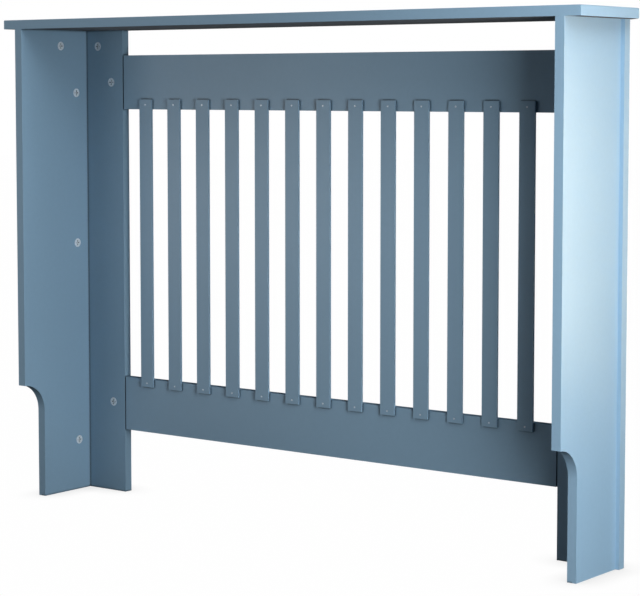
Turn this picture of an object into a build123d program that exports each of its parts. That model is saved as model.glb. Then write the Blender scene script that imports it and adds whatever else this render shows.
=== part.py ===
from build123d import *
import os
from collections import namedtuple

# A flat-pack radiator cover. Millimetres, +Z up, origin under the middle of the footprint.
# The room side faces -Y, the wall side faces +Y, and "left" is -X, as seen from the room.

# ---- overall ----
overall_width = 1120.0
overall_height = 815.0
overall_depth = 190.0
board = 15.0                      # thickness of every structural board

# ---- top shelf ----
shelf_end_overhang = 26.0         # beyond the outer faces of the side panels
shelf_front_overhang = 17.0       # beyond the front faces of the stiles
shelf_corner_cut = 27.0           # 45 degree cut at both front corners
shelf_arris = 1.0                 # eased top edge

# ---- side panels ----
notch_depth = 46.0                # clearance for a skirting board, behind each foot
notch_height = 196.0

# ---- front frame ----
stile_width = 105.0
stile_reveal = 6.0                # stile beyond the outer face of the side panel
rail_height = 92.0
bottom_rail_z = 110.0
air_gap = 43.0                    # top rail to the underside of the shelf
groove_width = 2.4                # shadow groove at the rail ends, wall side only
groove_depth = 3.0

# ---- slats ----
slat_count = 13
slat_width = 27.0
slat_thickness = 4.0
slat_end_margin = 41.7            # last slat to the stile
slat_overlap_top = 17.0
slat_overlap_bottom = 13.0
pin_inset_top = 9.0               # pin to slat end
pin_inset_bottom = 6.5
pin_radius = 0.8
pin_head_radius = 1.5
pin_head_height = 0.4
pin_bite = 8.0                    # depth of the pin in the rail

# ---- cam fittings ----
cam_inset = 27.0                  # cam axis to the joint face
pocket_radius = 7.5
pocket_depth = 12.4
cam_clearance = 0.05              # radial running clearance of the cam in its pocket
cam_height = 12.2
cam_face_thickness = 3.6
cam_floor_thickness = 1.0
cavity_radius = 5.0
mouth_angle = 80.0                # lets the bolt head in when the cam is released
jaw_slot_angle = 180.0            # travel of the bolt neck through the jaw
jaw_slot_height = 5.2
cross_length = 9.0
cross_width = 1.8
cross_depth = 1.6
side_cam_upper_drop = 107.0       # below the shelf
side_cam_middle_z = 433.0
side_cam_lower_z = 87.0
side_shelf_cam_y = 1.0
stile_shelf_cam_inset = 47.0      # from the outer edge of the stile

# ---- cam bolts, measured along the bolt from the cam's axis ----
head_start = 1.0
head_end = 3.6
neck_end = 8.5
thread_length = 10.0
head_radius = 3.0
neck_radius = 2.1
shank_radius = 3.0
thread_radius = 2.5
bolt_hole_radius = 4.0

# ---- wooden dowels ----
dowel_radius = 4.0
dowel_length = 30.0
dowel_bite = 10.0                 # share of the dowel in the board that it meets square on
dowel_gap = 0.5                   # glue gap past each end
shelf_dowel_spread = 50.0         # either side of the shelf cam
side_dowel_upper_drop = 237.0     # below the shelf
side_dowel_lower_z = 260.0
rail_dowel_spread = 28.0          # above and below the middle of a rail

# ---- derived ----
side_outer_x = overall_width / 2 - shelf_end_overhang
side_inner_x = side_outer_x - board
side_mid_x = side_outer_x - board / 2
stile_outer_x = side_outer_x + stile_reveal
stile_inner_x = stile_outer_x - stile_width
back_y = overall_depth / 2
shelf_front_y = -overall_depth / 2
stile_front_y = shelf_front_y + shelf_front_overhang
stile_back_y = stile_front_y + board
stile_mid_y = stile_front_y + board / 2
slat_back_y = stile_back_y + slat_thickness
shelf_z = overall_height - board
rail_lows = {"top": shelf_z - air_gap - rail_height, "bottom": bottom_rail_z}
slat_bottom_z = rail_lows["bottom"] + rail_height - slat_overlap_bottom
slat_top_z = rail_lows["top"] + slat_overlap_top
slat_reach = stile_inner_x - slat_end_margin - slat_width / 2
slat_xs = [slat_reach * (2 * i / (slat_count - 1) - 1) for i in range(slat_count)]
pin_zs = {"top": slat_top_z - pin_inset_top, "bottom": slat_bottom_z + pin_inset_bottom}
side_cam_zs = {
    "upper": shelf_z - side_cam_upper_drop,
    "middle": side_cam_middle_z,
    "lower": side_cam_lower_z,
}
side_dowel_zs = (shelf_z - side_dowel_upper_drop, side_dowel_lower_z)
bolt_depth = -board / 2           # bolts and dowels run in the middle of a board
signs = {"left": -1, "right": 1}

# host: the board that holds the cam. mate: the board that holds the bolt's thread.
# origin: the cam's middle, on the host's face. normal: out of that face. reach: along the bolt.
Fitting = namedtuple("Fitting", "name side host mate origin normal reach")

# host: the board drilled in its edge. mate: the board that the dowel meets square on.
# origin: on the joint face. reach: from the host into the mate.
Dowel = namedtuple("Dowel", "side host mate origin reach")


def slab(x_limits, y_limits, z_limits):
    """A box between two limits along each axis."""
    limits = (x_limits, y_limits, z_limits)
    size = [abs(b - a) for a, b in limits]
    middle = [(a + b) / 2 for a, b in limits]
    return Pos(*middle) * Box(*size)


def rod(radius, start, end):
    """A cylinder along local X from start to end."""
    return Pos((start + end) / 2, 0, 0) * Rot(0, 90, 0) * Cylinder(radius, end - start)


def sector(radius, height, start, size):
    """A slice of a cylinder about local Z, from the angle start over the angle size."""
    on_axis = (Align.NONE, Align.NONE, Align.CENTER)
    return Rot(0, 0, start) * Cylinder(radius, height, arc_size=size, align=on_axis)


def side_fittings(side, sign):
    """The cam fittings of a side panel: one up into the shelf, three into the stile."""
    x, inward = sign * side_inner_x, (-sign, 0, 0)
    origin = (x, side_shelf_cam_y, shelf_z - cam_inset)
    name = f"cam_{side}_side_shelf"
    found = [Fitting(name, side, "side_panel", "shelf", origin, inward, (0, 0, 1))]
    for place, z in side_cam_zs.items():
        origin = (x, stile_back_y + cam_inset, z)
        name = f"cam_{side}_side_{place}"
        found.append(Fitting(name, side, "side_panel", "stile", origin, inward, (0, -1, 0)))
    return found


def stile_fittings(side, sign):
    """The cam fittings of a stile: one up into the shelf, one into the end of each rail."""
    back = (0, 1, 0)
    x = sign * (stile_outer_x - stile_shelf_cam_inset)
    origin = (x, stile_back_y, shelf_z - cam_inset)
    name = f"cam_{side}_stile_shelf"
    found = [Fitting(name, side, "stile", "shelf", origin, back, (0, 0, 1))]
    for rail, low in rail_lows.items():
        origin = (sign * (stile_inner_x + cam_inset), stile_back_y, low + rail_height / 2)
        name = f"cam_{side}_stile_{rail}_rail"
        found.append(Fitting(name, side, "stile", f"{rail}_rail", origin, back, (-sign, 0, 0)))
    return found


def half_dowels(side, sign):
    """The wooden dowels of one half of the cabinet."""
    found = []
    for offset in (shelf_dowel_spread, -shelf_dowel_spread):
        origin = (sign * side_mid_x, side_shelf_cam_y + offset, shelf_z)
        found.append(Dowel(side, "side_panel", "shelf", origin, (0, 0, 1)))
    for z in side_dowel_zs:
        origin = (sign * side_mid_x, stile_back_y, z)
        found.append(Dowel(side, "side_panel", "stile", origin, (0, -1, 0)))
    for rail, low in rail_lows.items():
        for offset in (rail_dowel_spread, -rail_dowel_spread):
            origin = (sign * stile_inner_x, stile_mid_y, low + rail_height / 2 + offset)
            found.append(Dowel(side, "stile", f"{rail}_rail", origin, (-sign, 0, 0)))
    return found


fittings = [f for s, n in signs.items() for f in side_fittings(s, n) + stile_fittings(s, n)]
dowels = [d for s, n in signs.items() for d in half_dowels(s, n)]


def fitting_plane(fitting):
    """Local X points along the bolt, local Z out of the host's face, at the cam's middle."""
    return Plane(origin=fitting.origin, x_dir=fitting.reach, z_dir=fitting.normal)


def dowel_plane(dowel):
    """Local X points from the host into the mate."""
    across = (0, 1, 0) if dowel.reach[2] else (0, 0, 1)
    return Plane(origin=dowel.origin, x_dir=dowel.reach, z_dir=across)


def pin_plane(x, z):
    """Local X points from the wall side face of a slat into the rail."""
    return Plane(origin=(x, slat_back_y, z), x_dir=(0, -1, 0), z_dir=(0, 0, 1))


def make_pocket():
    """What a host loses to one cam and to the hole that its bolt comes in by."""
    pocket = Pos(0, 0, -pocket_depth / 2) * Cylinder(pocket_radius, pocket_depth)
    return pocket + Pos(0, 0, bolt_depth) * rod(bolt_hole_radius, 0, cam_inset)


def make_thread_hole():
    """What a mate loses to the thread of one bolt."""
    return Pos(0, 0, bolt_depth) * rod(thread_radius, cam_inset, cam_inset + thread_length)


def make_dowel_hole():
    """The hole of one dowel, through both boards, with its glue gaps."""
    return rod(dowel_radius, dowel_bite - dowel_length - dowel_gap, dowel_bite + dowel_gap)


def machined(blank, role, side=None):
    """The blank less the pockets and holes of every fitting and dowel that its role has."""
    for fitting in fittings:
        if side in (None, fitting.side) and fitting.host == role:
            blank -= fitting_plane(fitting) * make_pocket()
        if side in (None, fitting.side) and fitting.mate == role:
            blank -= fitting_plane(fitting) * make_thread_hole()
    for dowel in dowels:
        if side in (None, dowel.side) and role in (dowel.host, dowel.mate):
            blank -= dowel_plane(dowel) * make_dowel_hole()
    return blank


def make_shelf():
    """The top board, with its front corners cut off and its top edge eased."""
    half = overall_width / 2
    cut_y = shelf_front_y + shelf_corner_cut
    outline = Polyline(
        (-half, back_y),
        (half, back_y),
        (half, cut_y),
        (half - shelf_corner_cut, shelf_front_y),
        (-half + shelf_corner_cut, shelf_front_y),
        (-half, cut_y),
        close=True,
    )
    blank = Pos(0, 0, shelf_z) * extrude(make_face(outline), board)
    top = blank.faces().sort_by(Axis.Z)[-1]
    eased = chamfer([e for e in top.edges() if e.center().Y < back_y - shelf_arris], shelf_arris)
    return machined(eased, "shelf")


def make_side_panel(side, sign):
    """A full-height board with a notch, quarter-round at its top, behind its foot."""
    x_limits = (sign * side_inner_x, sign * side_outer_x)
    straight_z = notch_height - notch_depth
    blank = slab(x_limits, (stile_back_y, back_y), (0, shelf_z))
    blank -= slab(x_limits, (back_y - notch_depth, back_y), (0, straight_z))
    blank -= Pos(sign * side_mid_x, back_y, straight_z) * Rot(0, 90, 0) * Cylinder(
        notch_depth, board
    )
    return machined(blank, "side_panel", side)


def make_stile(side, sign):
    """An upright of the front frame, from the floor to the shelf."""
    x_limits = (sign * stile_inner_x, sign * stile_outer_x)
    return machined(slab(x_limits, (stile_front_y, stile_back_y), (0, shelf_z)), "stile", side)


def make_rail(rail):
    """A rail between the stiles, with a shadow groove on the wall side of both ends."""
    z_limits = (rail_lows[rail], rail_lows[rail] + rail_height)
    blank = slab((-stile_inner_x, stile_inner_x), (stile_front_y, stile_back_y), z_limits)
    for sign in signs.values():
        x_limits = (sign * stile_inner_x, sign * (stile_inner_x - groove_width))
        blank -= slab(x_limits, (stile_back_y - groove_depth, stile_back_y), z_limits)
    for x in slat_xs:
        hole = rod(pin_radius, slat_thickness, slat_thickness + pin_bite)
        blank -= pin_plane(x, pin_zs[rail]) * hole
    return machined(blank, f"{rail}_rail")


def make_slat(x):
    """One slat over the wall side of both rails, with a hole for a pin at each end."""
    x_limits = (x - slat_width / 2, x + slat_width / 2)
    slat = slab(x_limits, (stile_back_y, slat_back_y), (slat_bottom_z, slat_top_z))
    for z in pin_zs.values():
        slat -= pin_plane(x, z) * rod(pin_radius, 0, slat_thickness)
    return slat


def make_slat_pins(rail):
    """The headed pins that hold the slats to one rail."""
    shank = rod(pin_radius, 0, slat_thickness + pin_bite)
    pin = shank + rod(pin_head_radius, -pin_head_height, 0)
    return Compound([pin_plane(x, pin_zs[rail]) * pin for x in slat_xs])


def make_cam(fitting):
    """A hollow cam: a cross-slotted face, a floor, and between them a slotted jaw and a mouth."""
    radius = pocket_radius - cam_clearance
    cavity_height = cam_height - cam_face_thickness - cam_floor_thickness
    cavity_middle = -cam_face_thickness - cavity_height / 2
    past_rim = radius + 1
    cam = Pos(0, 0, -cam_height / 2) * Cylinder(radius, cam_height)
    cross = Box(cross_length, cross_width, 2 * cross_depth)
    cam -= cross + Rot(0, 0, 90) * cross
    cam -= Pos(0, 0, cavity_middle) * Cylinder(cavity_radius, cavity_height)
    mouth_start = 180 - mouth_angle / 2
    cam -= Pos(0, 0, cavity_middle) * sector(past_rim, cavity_height, mouth_start, mouth_angle)
    slot_start = 210
    cam -= Pos(0, 0, bolt_depth) * sector(past_rim, jaw_slot_height, slot_start, jaw_slot_angle)
    return fitting_plane(fitting) * cam


def make_bolts(side):
    """The cam bolts of one half of the cabinet."""
    bolt = (
        rod(head_radius, head_start, head_end)
        + rod(neck_radius, head_end, neck_end)
        + rod(shank_radius, neck_end, cam_inset)
        + rod(thread_radius, cam_inset, cam_inset + thread_length)
    )
    bolt = Pos(0, 0, bolt_depth) * bolt
    return Compound([fitting_plane(f) * bolt for f in fittings if f.side == side])


def make_dowels(side):
    """The wooden dowels of one half of the cabinet."""
    dowel = rod(dowel_radius, dowel_bite - dowel_length, dowel_bite)
    return Compound([dowel_plane(d) * dowel for d in dowels if d.side == side])


parts = {"top_shelf": make_shelf()}
for side, sign in signs.items():
    parts[f"{side}_side_panel"] = make_side_panel(side, sign)
    parts[f"{side}_stile"] = make_stile(side, sign)
    parts[f"cam_bolts_{side}"] = make_bolts(side)
    parts[f"dowels_{side}"] = make_dowels(side)
for rail in rail_lows:
    parts[f"{rail}_rail"] = make_rail(rail)
    parts[f"slat_pins_{rail}"] = make_slat_pins(rail)
for number, x in enumerate(slat_xs, 1):
    parts[f"slat_{number:02d}"] = make_slat(x)
for fitting in fittings:
    parts[fitting.name] = make_cam(fitting)

os.makedirs("parts", exist_ok=True)
for name, shape in parts.items():
    export_step(shape, f"parts/{name}.step")
print(len(parts), "nodes written")
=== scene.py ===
"""Dresses the flat-pack radiator cover and sets it in a plain studio.

The cover stands with its wall side, +Y, towards the camera, as in the photograph.
Every board, slat and fitting keeps its CAD mesh and gets a finish; all but the bolts and dowels
also get eased edges.
Lengths are in metres.
"""

import logging
import math
from dataclasses import dataclass
from enum import Enum

import bmesh
import bpy
from mathutils import Matrix, Vector

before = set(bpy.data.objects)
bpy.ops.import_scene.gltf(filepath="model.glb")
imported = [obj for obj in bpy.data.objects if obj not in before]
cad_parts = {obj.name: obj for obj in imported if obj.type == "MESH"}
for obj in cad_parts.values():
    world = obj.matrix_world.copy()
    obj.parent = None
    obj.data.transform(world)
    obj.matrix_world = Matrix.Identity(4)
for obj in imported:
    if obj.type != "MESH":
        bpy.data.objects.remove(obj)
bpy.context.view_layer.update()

LOG = logging.getLogger("radiator_cover")

Colour = tuple[float, float, float, float]
Tint = tuple[float, float, float]
Point = tuple[float, float, float]
Socket = bpy.types.NodeSocket

BLACK: Colour = (0.0, 0.0, 0.0, 1.0)
WHITE: Colour = (1.0, 1.0, 1.0, 1.0)
CORNER_SAMPLES: int = 8
ARRIS_SLOT: int = 1
OPEN_BACK: Point = (-0.3, 0.0, 0.5)


class BoardFace(Enum):
    """The axis that the broad faces of a board look along."""

    ALONG_WIDTH = "X"
    ALONG_DEPTH = "Y"
    ALONG_HEIGHT = "Z"


class Reading(Enum):
    """What a finish reads of the surface, in the object's own coordinates."""

    PLACE = "Object"
    FACING = "Normal"


class Step(Enum):
    """A step of shader arithmetic."""

    TIMES = "MULTIPLY"
    PLUS = "ADD"
    LARGER = "MAXIMUM"
    SIZE = "ABSOLUTE"


class LightUse(Enum):
    """What the light of a softbox takes part in."""

    FULL = "full"
    NO_REFLECTION = "no reflection"
    REFLECTION_ONLY = "reflection only"


@dataclass(frozen=True)
class Ramp:
    """Carries the values from start to end over to low to high, and holds them there."""

    start: float
    end: float
    low: float
    high: float


@dataclass(frozen=True)
class Grain:
    """A soft random pattern: its features to the metre, its finer layers and its stretch."""

    per_metre: float
    detail: float
    stretch: Point = (1.0, 1.0, 1.0)


@dataclass(frozen=True)
class Mottle:
    """A grain whose values from start to end are spread over low to high."""

    grain: Grain
    low: float
    high: float
    start: float = 0.3
    end: float = 0.7


class FinishNodes:
    """The shader nodes of one finish, built from small readable steps."""

    def __init__(self, name: str) -> None:
        """Starts an empty material with a Principled shader.

        Args:
            name: The material's name.
        """
        self.material = bpy.data.materials.new(name)
        self.material.use_nodes = True
        self.tree = self.material.node_tree
        self.shader = self.tree.nodes["Principled BSDF"]
        self.coords = self.tree.nodes.new("ShaderNodeTexCoord")

    def link(self, source: Socket, target: Socket) -> None:
        """Joins an output to an input."""
        self.tree.links.new(source, target)

    def feed(self, place: str, value: "Socket | float | Colour") -> None:
        """Sets an input of the shader to a number or colour, or joins a pattern to it.

        Args:
            place: The name of the shader's input.
            value: The number, the colour or the pattern's output.
        """
        if isinstance(value, Socket):
            self.link(value, self.shader.inputs[place])
        else:
            self.shader.inputs[place].default_value = value

    def along(self, reading: Reading, axis: str) -> Socket:
        """Where the surface is, or where it faces, along one axis.

        Args:
            reading: The place or the facing.
            axis: X, Y or Z.

        Returns:
            The value along that axis.
        """
        split = self.tree.nodes.new("ShaderNodeSeparateXYZ")
        self.link(self.coords.outputs[reading.value], split.inputs["Vector"])
        return split.outputs[axis]

    def noise(self, grain: Grain) -> Socket:
        """Lays a grain over the object's own coordinates.

        Args:
            grain: The pattern.

        Returns:
            The pattern, from 0 to 1.
        """
        texture = self.tree.nodes.new("ShaderNodeTexNoise")
        texture.inputs["Scale"].default_value = grain.per_metre
        texture.inputs["Detail"].default_value = grain.detail
        mapping = self.tree.nodes.new("ShaderNodeMapping")
        mapping.inputs["Scale"].default_value = grain.stretch
        self.link(self.coords.outputs["Object"], mapping.inputs["Vector"])
        self.link(mapping.outputs["Vector"], texture.inputs["Vector"])
        return texture.outputs["Fac"]

    def openness(self, reach: float) -> Socket:
        """How open the surface is, from about a half in a square corner to 1 in the open.

        Args:
            reach: How far from the corner it is felt.

        Returns:
            The openness.
        """
        corner = self.tree.nodes.new("ShaderNodeAmbientOcclusion")
        corner.samples = CORNER_SAMPLES
        corner.inputs["Distance"].default_value = reach
        return corner.outputs["AO"]

    def spread(self, source: Socket, ramp: Ramp) -> Socket:
        """Carries a value over to another range.

        Args:
            source: The value to carry over.
            ramp: The two ranges.

        Returns:
            The result.
        """
        node = self.tree.nodes.new("ShaderNodeMapRange")
        node.clamp = True
        node.inputs["From Min"].default_value = ramp.start
        node.inputs["From Max"].default_value = ramp.end
        node.inputs["To Min"].default_value = ramp.low
        node.inputs["To Max"].default_value = ramp.high
        self.link(source, node.inputs["Value"])
        return node.outputs["Result"]

    def mottle(self, mottle: Mottle) -> Socket:
        """Lays a mottle over the object."""
        ramp = Ramp(mottle.start, mottle.end, mottle.low, mottle.high)
        return self.spread(self.noise(mottle.grain), ramp)

    def reckon(self, step: Step, first: Socket, second: "Socket | float" = 0.0) -> Socket:
        """Takes one step of arithmetic.

        Args:
            step: What is done.
            first: The first value.
            second: The second value, where the step has one.

        Returns:
            The result.
        """
        node = self.tree.nodes.new("ShaderNodeMath")
        node.operation = step.value
        self.link(first, node.inputs[0])
        if isinstance(second, float):
            node.inputs[1].default_value = second
        else:
            self.link(second, node.inputs[1])
        return node.outputs[0]

    def tinted(self, colour: Colour, strength: Socket) -> Socket:
        """Makes a colour lighter or darker by a pattern.

        Args:
            colour: The colour where the pattern is 1.
            strength: The pattern, near 1.

        Returns:
            The varied colour.
        """
        node = self.tree.nodes.new("ShaderNodeVectorMath")
        node.operation = "SCALE"
        node.inputs[0].default_value = colour[:3]
        self.link(strength, node.inputs["Scale"])
        return node.outputs["Vector"]

    def blend(self, share: Socket, first: Socket, second: Socket) -> Socket:
        """Mixes two colours.

        Args:
            share: How much of the second there is.
            first: The first colour.
            second: The second colour.

        Returns:
            The mixed colour.
        """
        node = self.tree.nodes.new("ShaderNodeMix")
        node.data_type = "RGBA"
        colours = [socket for socket in node.inputs if socket.type == "RGBA"]
        self.link(share, node.inputs[0])
        self.link(first, colours[0])
        self.link(second, colours[1])
        return next(socket for socket in node.outputs if socket.type == "RGBA")

    def relief(self, height: Socket, depth: float, under: "Socket | None" = None) -> Socket:
        """Turns a height pattern into surface relief.

        Args:
            height: The pattern, from 0 to 1.
            depth: The height of the pattern.
            under: A relief that this one lies on.

        Returns:
            The relief's normal.
        """
        bump = self.tree.nodes.new("ShaderNodeBump")
        bump.inputs["Strength"].default_value = 1.0
        bump.inputs["Distance"].default_value = depth
        self.link(height, bump.inputs["Height"])
        if under is not None:
            self.link(under, bump.inputs["Normal"])
        return bump.outputs["Normal"]


@dataclass(frozen=True)
class SatinPaint:
    """Blue-grey satin lacquer on MDF, smooth on the faces and drier on the sawn edges."""

    name: str = "painted_mdf"
    colour: Colour = (0.244, 0.393, 0.532, 1.0)
    refraction: float = 1.5
    drift: Mottle = Mottle(Grain(2.2, 2.0), 0.97, 1.03)
    fleck: Mottle = Mottle(Grain(150.0, 3.0), 0.988, 1.012)
    film: Mottle = Mottle(Grain(35.0, 2.0), -0.03, 0.03)
    peel: Grain = Grain(420.0, 1.0)
    peel_depth: float = 0.00003
    fibre: Grain = Grain(700.0, 4.0)
    fibre_depth: float = 0.00006
    sawn_turn: Ramp = Ramp(0.3, 0.8, 1.0, 0.0)
    sawn_tone: Ramp = Ramp(0.0, 1.0, 1.0, 0.955)
    sawn_roughness: Ramp = Ramp(0.0, 1.0, 0.36, 0.55)
    # Rubbed paint on the eased edges, lighter partly from the rubbing and partly as a painted
    # highlight.
    rub_and_highlight: Mottle = Mottle(Grain(60.0, 4.0), 0.98, 1.12, 0.35, 0.75)
    rub_roughness: Mottle = Mottle(Grain(240.0, 2.0), 0.38, 0.5)
    rub_grain: Grain = Grain(300.0, 3.0)
    rub_depth: float = 0.00003
    # Painted shade in the inner corners: how far it reaches and how dark it gets.
    corner_shade_reach: float = 0.0045
    corner_shade_tone: Ramp = Ramp(0.5, 0.9, 0.32, 1.0)
    end_face: Ramp = Ramp(0.5272, 0.5277, 0.0, 1.0)
    # Painted shade under the shelf: a near-black colour and a matt finish on the faces that look
    # down.
    underside_shade: Colour = (0.084, 0.094, 0.102, 1.0)
    underside_roughness: Ramp = Ramp(0.0, 1.0, 0.0, 0.9)
    underside_turn: Ramp = Ramp(-0.95, -0.7, 1.0, 0.0)

    def face_material(self, face: BoardFace) -> bpy.types.Material:
        """The paint of a whole board, with painted shade in its inner corners and, under a lying
        one, near-black painted shade on the faces that look down.

        Args:
            face: The axis that the board's broad faces look along.

        Returns:
            The material.
        """
        nodes = FinishNodes(f"{self.name}_{face.name.lower()}")
        facing = nodes.reckon(Step.SIZE, nodes.along(Reading.FACING, face.value))
        sawn = nodes.spread(facing, self.sawn_turn)
        cloudy = nodes.reckon(Step.TIMES, nodes.mottle(self.drift), nodes.mottle(self.fleck))
        even = nodes.reckon(Step.TIMES, cloudy, nodes.spread(sawn, self.sawn_tone))
        # Painted shade: the paint is darkened in the inner corners.
        tone_and_shade = nodes.reckon(Step.TIMES, even, self.painted_corner_shade(nodes))
        coat_and_shade = nodes.tinted(self.colour, tone_and_shade)
        matt = nodes.spread(sawn, self.sawn_roughness)
        rough = nodes.reckon(Step.PLUS, matt, nodes.mottle(self.film))
        # Painted shade: the faces that look down are made near-black and matt.
        if face is BoardFace.ALONG_HEIGHT:
            below = nodes.spread(nodes.along(Reading.FACING, face.value), self.underside_turn)
            coat_and_shade = nodes.blend(below, coat_and_shade, nodes.tinted(self.underside_shade, tone_and_shade))
            underside_matt = nodes.spread(below, self.underside_roughness)
            rough = nodes.reckon(Step.LARGER, rough, underside_matt)
        peel = nodes.relief(nodes.noise(self.peel), self.peel_depth)
        fibre = nodes.reckon(Step.TIMES, nodes.noise(self.fibre), sawn)
        nodes.feed("Base Color", coat_and_shade)
        nodes.feed("Roughness", rough)
        nodes.feed("Normal", nodes.relief(fibre, self.fibre_depth, peel))
        nodes.feed("IOR", self.refraction)
        return nodes.material

    def arris_material(self) -> bpy.types.Material:
        """The thin, slightly rubbed paint along the eased edges, lightened a little as a painted
        highlight.

        Returns:
            The material.
        """
        nodes = FinishNodes(f"{self.name}_arris")
        # Partly rubbed paint and partly a painted highlight, with painted shade in the inner
        # corners.
        tone_and_shade = nodes.reckon(Step.TIMES, nodes.mottle(self.rub_and_highlight), self.painted_corner_shade(nodes))
        nodes.feed("Base Color", nodes.tinted(self.colour, tone_and_shade))
        nodes.feed("Roughness", nodes.mottle(self.rub_roughness))
        nodes.feed("Normal", nodes.relief(nodes.noise(self.rub_grain), self.rub_depth))
        nodes.feed("IOR", self.refraction)
        return nodes.material

    def painted_corner_shade(self, nodes: FinishNodes) -> Socket:
        """Painted shade deep in the inner corners. The end faces of the cover have none.

        Args:
            nodes: The material being built.

        Returns:
            The tone, from dark in a corner to 1 in the open.
        """
        shade = nodes.spread(nodes.openness(self.corner_shade_reach), self.corner_shade_tone)
        outwards = nodes.reckon(Step.SIZE, nodes.along(Reading.PLACE, BoardFace.ALONG_WIDTH.value))
        return nodes.reckon(Step.LARGER, shade, nodes.spread(outwards, self.end_face))


@dataclass(frozen=True)
class CastZinc:
    """Bare die-cast zinc, a little dull and mottled from the mould."""

    name: str = "cam_zinc"
    colour: Colour = (0.80, 0.90, 0.97, 1.0)
    metal: float = 0.2
    cloud: Mottle = Mottle(Grain(320.0, 4.0), 0.82, 1.08)
    dull: Mottle = Mottle(Grain(500.0, 3.0), 0.26, 0.46)
    # Painted shade in the cam's recesses: how far it reaches and how dark it gets.
    recess_shade_reach: float = 0.002
    recess_shade_tone: Ramp = Ramp(0.35, 0.8, 0.1, 1.0)
    pits: Grain = Grain(1400.0, 3.0)
    pit_depth: float = 0.00004

    def material(self) -> bpy.types.Material:
        """Builds the finish.

        Returns:
            The material.
        """
        nodes = FinishNodes(self.name)
        # Painted shade: the zinc is darkened in its recesses.
        recess_shade = nodes.spread(nodes.openness(self.recess_shade_reach), self.recess_shade_tone)
        tone_and_shade = nodes.reckon(Step.TIMES, nodes.mottle(self.cloud), recess_shade)
        nodes.feed("Base Color", nodes.tinted(self.colour, tone_and_shade))
        nodes.feed("Roughness", nodes.mottle(self.dull))
        nodes.feed("Metallic", self.metal)
        nodes.feed("Normal", nodes.relief(nodes.noise(self.pits), self.pit_depth))
        return nodes.material


@dataclass(frozen=True)
class DrawnSteel:
    """Bright steel wire or rod with fine lines from the drawing."""

    name: str
    colour: Colour = (0.66, 0.67, 0.68, 1.0)
    metal: float = 1.0
    lines: Grain = Grain(900.0, 3.0)
    line_tone: Ramp = Ramp(0.3, 0.7, 0.85, 1.05)
    line_roughness: Ramp = Ramp(0.3, 0.7, 0.24, 0.40)
    line_depth: float = 0.00002

    def material(self) -> bpy.types.Material:
        """Builds the finish.

        Returns:
            The material.
        """
        nodes = FinishNodes(self.name)
        streak = nodes.noise(self.lines)
        nodes.feed("Base Color", nodes.tinted(self.colour, nodes.spread(streak, self.line_tone)))
        nodes.feed("Roughness", nodes.spread(streak, self.line_roughness))
        nodes.feed("Metallic", self.metal)
        nodes.feed("Normal", nodes.relief(streak, self.line_depth))
        return nodes.material


@dataclass(frozen=True)
class Beech:
    """Plain turned beech, with pale short flecks."""

    name: str = "beech"
    light: Colour = (0.62, 0.42, 0.24, 1.0)
    dark: Colour = (0.43, 0.26, 0.13, 1.0)
    roughness: float = 0.62
    flecks: Mottle = Mottle(Grain(260.0, 5.0), 0.0, 1.0, 0.35, 0.65)
    drift: Mottle = Mottle(Grain(40.0, 2.0), 0.95, 1.05)
    fleck_depth: float = 0.00005

    def material(self) -> bpy.types.Material:
        """Builds the finish.

        Returns:
            The material.
        """
        nodes = FinishNodes(self.name)
        flecks, drift = nodes.mottle(self.flecks), nodes.mottle(self.drift)
        pale, deep = nodes.tinted(self.light, drift), nodes.tinted(self.dark, drift)
        nodes.feed("Base Color", nodes.blend(flecks, pale, deep))
        nodes.feed("Roughness", self.roughness)
        nodes.feed("Normal", nodes.relief(flecks, self.fleck_depth))
        return nodes.material


@dataclass(frozen=True)
class EasedEdge:
    """A small rounded edge, made by modifiers so that the CAD mesh stays as it is."""

    width: float
    arris_finish: bool = True
    weld_gap: float = 0.000002
    flat_angle: float = math.radians(0.5)
    sharp_angle: float = math.radians(38)
    rounds: int = 2
    face_weight: int = 95

    def ease(self, node: bpy.types.Object) -> None:
        """Rounds the sharp edges of a CAD node.

        Args:
            node: The CAD node's object. Where the edge has the arris finish, it has a second
                material: rubbed paint with a painted highlight.
        """
        weld = node.modifiers.new("weld", "WELD")
        weld.merge_threshold = self.weld_gap
        merge = node.modifiers.new("flat_faces", "DECIMATE")
        merge.decimate_type = "DISSOLVE"
        merge.angle_limit = self.flat_angle
        bevel = node.modifiers.new("eased_edges", "BEVEL")
        bevel.width = self.width
        bevel.segments = self.rounds
        bevel.limit_method = "ANGLE"
        bevel.angle_limit = self.sharp_angle
        bevel.use_clamp_overlap = True
        if self.arris_finish:
            bevel.material = ARRIS_SLOT
        flatten = node.modifiers.new("flat_shading", "WEIGHTED_NORMAL")
        flatten.mode = "FACE_AREA"
        flatten.weight = self.face_weight


def dress(node: bpy.types.Object, *materials: bpy.types.Material) -> None:
    """Gives a CAD node its materials and smooth shading.

    Args:
        node: The CAD node's object.
        materials: The materials in the order of their slots.
    """
    node.data.materials.clear()
    for material in materials:
        node.data.materials.append(material)
    node.data.shade_smooth()


@dataclass(frozen=True)
class PaintedBoards:
    """A family of painted boards whose broad faces look the same way."""

    title: str
    nodes: tuple[str, ...]
    face: BoardFace
    paint: SatinPaint
    edge: EasedEdge

    def build(self) -> None:
        """Eases and paints every board of the family."""
        coat_and_shade, arris_finish = self.paint.face_material(self.face), self.paint.arris_material()
        for name in self.nodes:
            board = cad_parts[name]
            dress(board, coat_and_shade, arris_finish)
            self.edge.ease(board)
        LOG.info("%s: %d painted", self.title, len(self.nodes))


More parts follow.
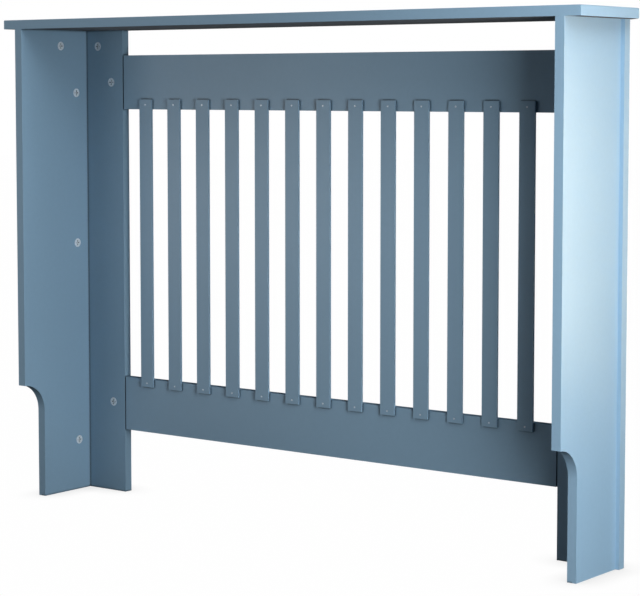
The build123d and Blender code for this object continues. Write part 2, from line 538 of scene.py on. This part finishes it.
@dataclass(frozen=True)
class Carcass:
    """The shelf, the two side panels and the two stiles."""

    paint: SatinPaint
    shelf: tuple[str, ...] = ("top_shelf",)
    panels: tuple[str, ...] = ("left_side_panel", "right_side_panel")
    stiles: tuple[str, ...] = ("left_stile", "right_stile")
    shelf_edge: EasedEdge = EasedEdge(0.0005)
    panel_edge: EasedEdge = EasedEdge(0.0006)

    def build(self) -> None:
        """Builds the boards that carry the rest."""
        families = (
            ("top shelf", self.shelf, BoardFace.ALONG_HEIGHT, self.shelf_edge),
            ("side panels", self.panels, BoardFace.ALONG_WIDTH, self.panel_edge),
            ("stiles", self.stiles, BoardFace.ALONG_DEPTH, self.panel_edge),
        )
        for title, nodes, face, edge in families:
            PaintedBoards(title, nodes, face, self.paint, edge).build()


@dataclass(frozen=True)
class SlattedFront:
    """The two rails, the slats over their wall side and the pins that hold them."""

    paint: SatinPaint
    pin_finish: DrawnSteel
    rails: tuple[str, ...] = ("top_rail", "bottom_rail")
    slat_count: int = 13
    pin_rows: tuple[str, ...] = ("slat_pins_top", "slat_pins_bottom")
    rail_edge: EasedEdge = EasedEdge(0.0006)
    slat_edge: EasedEdge = EasedEdge(0.0005)
    pin_edge: EasedEdge = EasedEdge(0.0002, arris_finish=False)

    def build(self) -> None:
        """Builds the rails, slats and pins."""
        slats = tuple(f"slat_{number:02d}" for number in range(1, self.slat_count + 1))
        face = BoardFace.ALONG_DEPTH
        PaintedBoards("rails", self.rails, face, self.paint, self.rail_edge).build()
        PaintedBoards("slats", slats, face, self.paint, self.slat_edge).build()
        steel = self.pin_finish.material()
        for name in self.pin_rows:
            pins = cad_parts[name]
            dress(pins, steel)
            self.pin_edge.ease(pins)
        LOG.info("slat pins: %d rows of %d", len(self.pin_rows), self.slat_count)


@dataclass(frozen=True)
class CamFittings:
    """The fourteen turning cams, their bolts and the wooden dowels beside them."""

    zinc: CastZinc
    bolt_finish: DrawnSteel
    wood: Beech
    cam_edge: EasedEdge = EasedEdge(0.0005, arris_finish=False)
    sides: tuple[str, ...] = ("left", "right")
    places: tuple[str, ...] = (
        "side_shelf",
        "side_upper",
        "side_middle",
        "side_lower",
        "stile_shelf",
        "stile_top_rail",
        "stile_bottom_rail",
    )

    def build(self) -> None:
        """Builds the fittings of both halves."""
        cast, steel = self.zinc.material(), self.bolt_finish.material()
        beech = self.wood.material()
        for side in self.sides:
            for place in self.places:
                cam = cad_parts[f"cam_{side}_{place}"]
                dress(cam, cast)
                self.cam_edge.ease(cam)
            dress(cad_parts[f"cam_bolts_{side}"], steel)
            dress(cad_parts[f"dowels_{side}"], beech)
            LOG.info("%s half: %d cams, with bolts and dowels", side, len(self.places))


@dataclass(frozen=True)
class SoftLight:
    """One rectangular softbox."""

    name: str
    place: Point
    aim: Point
    width: float
    height: float
    watts: float
    use: LightUse = LightUse.FULL
    tint: Tint = (1.0, 1.0, 1.0)

    def build(self) -> None:
        """Hangs the softbox and turns it to what it lights."""
        lamp = bpy.data.lights.new(self.name, "AREA")
        lamp.shape = "RECTANGLE"
        lamp.size, lamp.size_y = self.width, self.height
        lamp.energy = self.watts
        lamp.color = self.tint
        box = bpy.data.objects.new(self.name, lamp)
        look = Vector(self.aim) - Vector(self.place)
        box.location = self.place
        box.rotation_euler = look.to_track_quat("-Z", "Y").to_euler()
        box.visible_camera = False
        box.visible_glossy = self.use is not LightUse.NO_REFLECTION
        box.visible_diffuse = self.use is not LightUse.REFLECTION_ONLY
        bpy.context.scene.collection.objects.link(box)


def open_back_light(name: str, place: Point, side: float, watts: float) -> SoftLight:
    """A square softbox on the wall side, turned to the open back of the cover.

    Args:
        name: The lamp's name.
        place: Where it hangs.
        side: The length of its sides.
        watts: Its power.

    Returns:
        The softbox.
    """
    return SoftLight(name, place, OPEN_BACK, side, side, watts)


def dead_black(name: str) -> FinishNodes:
    """A finish that gives back no light.

    Args:
        name: The material's name.

    Returns:
        The finish's nodes.
    """
    nodes = FinishNodes(name)
    nodes.feed("Base Color", BLACK)
    nodes.feed("Roughness", 1.0)
    nodes.feed("Specular IOR Level", 0.0)
    return nodes


@dataclass(frozen=True)
class Floor:
    """A wide pale floor, a little darker where something stands on it: a painted shadow."""

    half: float = 14.0
    squares: int = 8
    shadow_reach: float = 0.05
    glow: Ramp = Ramp(0.4, 1.0, 0.80, 0.995)

    def build(self) -> None:
        """Lays the floor."""
        mesh = bpy.data.meshes.new("floor")
        shape = bmesh.new()
        bmesh.ops.create_grid(
            shape, x_segments=self.squares, y_segments=self.squares, size=self.half
        )
        shape.to_mesh(mesh)
        shape.free()
        floor = bpy.data.objects.new("floor", mesh)
        bpy.context.scene.collection.objects.link(floor)
        floor.visible_diffuse = False
        floor.visible_glossy = False
        nodes = dead_black("pale_floor")
        nodes.feed("Emission Color", WHITE)
        # Painted shadow: the floor's glow is lowered near anything standing on it.
        nodes.feed("Emission Strength", nodes.spread(nodes.openness(self.shadow_reach), self.glow))
        mesh.materials.append(nodes.material)


@dataclass(frozen=True)
class Flag:
    """An unseen black card in line with the near panel, which keeps its light off the slats."""

    line: float = -0.56
    back: float = -0.10
    front: float = -1.80
    foot: float = 0.06
    top: float = 1.30

    def build(self) -> None:
        """Stands the card."""
        mesh = bpy.data.meshes.new("flag")
        low = [(self.line, depth, self.foot) for depth in (self.back, self.front)]
        high = [(self.line, depth, self.top) for depth in (self.front, self.back)]
        mesh.from_pydata(low + high, [], [(0, 1, 2, 3)])
        flag = bpy.data.objects.new("flag", mesh)
        bpy.context.scene.collection.objects.link(flag)
        flag.visible_camera = False
        flag.visible_glossy = False
        mesh.materials.append(dead_black("black_card").material)


@dataclass(frozen=True)
class Viewpoint:
    """The camera, where the photograph was taken from."""

    focal_pixels: float = 2081.8
    frame_width: int = 640
    frame_height: int = 596
    sensor: float = 36.0
    middle_column: float = 320.0
    middle_row: float = 250.0
    eye: Point = (-2.0108, 2.5792, 0.7010)
    turn: float = math.radians(-37.393)
    pitch: float = math.radians(-4.445)

    def build(self) -> None:
        """Sets up the camera."""
        lens = bpy.data.cameras.new("camera")
        lens.sensor_width = self.sensor
        lens.lens = self.focal_pixels / self.frame_width * self.sensor
        lens.shift_x = (self.frame_width / 2 - self.middle_column) / self.frame_width
        lens.shift_y = (self.middle_row - self.frame_height / 2) / self.frame_width
        camera = bpy.data.objects.new("camera", lens)
        level = math.cos(self.pitch)
        look = Vector(
            (-math.sin(self.turn) * level, -math.cos(self.turn) * level, math.sin(self.pitch))
        )
        across = look.cross(Vector((0.0, 0.0, 1.0))).normalized()
        up = across.cross(look)
        axes = Matrix((across, up, -look)).transposed().to_4x4()
        camera.matrix_world = Matrix.Translation(self.eye) @ axes
        bpy.context.scene.collection.objects.link(camera)
        bpy.context.scene.camera = camera


@dataclass(frozen=True)
class Studio:
    """The floor, plain soft light and the camera."""

    floor: Floor = Floor()
    flag: Flag = Flag()
    viewpoint: Viewpoint = Viewpoint()
    ambient: Colour = (0.90, 0.95, 1.0, 1.0)
    ambient_strength: float = 0.01
    lights: tuple[SoftLight, ...] = (
        open_back_light("low_key", (-1.25, 0.55, 0.35), 0.5, 7.8),
        open_back_light("side_key", (-1.41, 0.64, 0.63), 0.65, 4.7),
        open_back_light("high_key", (-1.10, 0.46, 1.37), 0.65, 7.8),
        open_back_light("near_low", (-1.40, 0.10, 0.30), 0.5, 0.6),
        open_back_light("far_side", (-3.20, 0.60, 0.80), 1.5, 7.5),
        open_back_light("far_high", (-2.40, 1.00, 2.00), 1.2, 4.5),
        open_back_light("far_corner", (0.91, 0.91, 0.63), 0.65, 1.65),
        open_back_light("far_low", (0.91, 0.91, 0.28), 0.65, 1.15),
        open_back_light("floor_bounce", (0.0, 0.80, 0.05), 0.65, 0.26),
        SoftLight(
            "panel_gloss",
            place=(-1.05, -0.45, 0.50),
            aim=(-0.53, 0.06, 0.50),
            width=0.15,
            height=0.6,
            watts=6.4,
            use=LightUse.REFLECTION_ONLY,
            tint=(1.0, 0.81, 0.48),
        ),
        SoftLight(
            "front_low",
            place=(0.90, -3.00, 0.12),
            aim=(0.0, 0.0, 0.45),
            width=1.6,
            height=0.16,
            watts=80.0,
            use=LightUse.NO_REFLECTION,
        ),
        SoftLight(
            "far_end",
            place=(2.60, 0.30, 1.20),
            aim=(0.5, 0.0, 0.4),
            width=1.2,
            height=0.6,
            watts=14.0,
            use=LightUse.NO_REFLECTION,
        ),
        SoftLight(
            "overhead",
            place=(0.0, 0.25, 2.70),
            aim=(0.0, 0.02, 0.8),
            width=2.0,
            height=0.5,
            watts=22.0,
        ),
    )

    def build(self) -> None:
        """Sets up the floor, the light and the camera."""
        self.floor.build()
        self.flag.build()
        self.fill_world()
        for light in self.lights:
            light.build()
        self.viewpoint.build()
        scene = bpy.context.scene
        scene.view_settings.view_transform = "Standard"
        scene.view_settings.look = "None"
        LOG.info("studio: %d softboxes", len(self.lights))

    def fill_world(self) -> None:
        """Makes the backdrop white and keeps its light on the cover low."""
        world = bpy.data.worlds.new("studio")
        bpy.context.scene.world = world
        world.use_nodes = True
        tree = world.node_tree
        room = tree.nodes["Background"]
        room.inputs["Color"].default_value = self.ambient
        room.inputs["Strength"].default_value = self.ambient_strength
        white = tree.nodes.new("ShaderNodeBackground")
        white.inputs["Color"].default_value = WHITE
        ray = tree.nodes.new("ShaderNodeLightPath")
        mix = tree.nodes.new("ShaderNodeMixShader")
        tree.links.new(ray.outputs["Is Camera Ray"], mix.inputs["Fac"])
        tree.links.new(room.outputs["Background"], mix.inputs[1])
        tree.links.new(white.outputs["Background"], mix.inputs[2])
        tree.links.new(mix.outputs["Shader"], tree.nodes["World Output"].inputs["Surface"])


def main() -> None:
    """Dresses the cover and sets up the studio."""
    logging.basicConfig(level=logging.INFO, format="%(name)s: %(message)s")
    paint = SatinPaint()
    pin_steel = DrawnSteel(
        "pin_steel",
        colour=(0.70, 0.80, 0.88, 1.0),
        metal=0.4,
        lines=Grain(900.0, 3.0, (1.0, 0.05, 1.0)),
    )
    Carcass(paint).build()
    SlattedFront(paint, pin_steel).build()
    CamFittings(CastZinc(), DrawnSteel("bolt_steel"), Beech()).build()
    Studio().build()


if __name__ == "__main__":
    main()
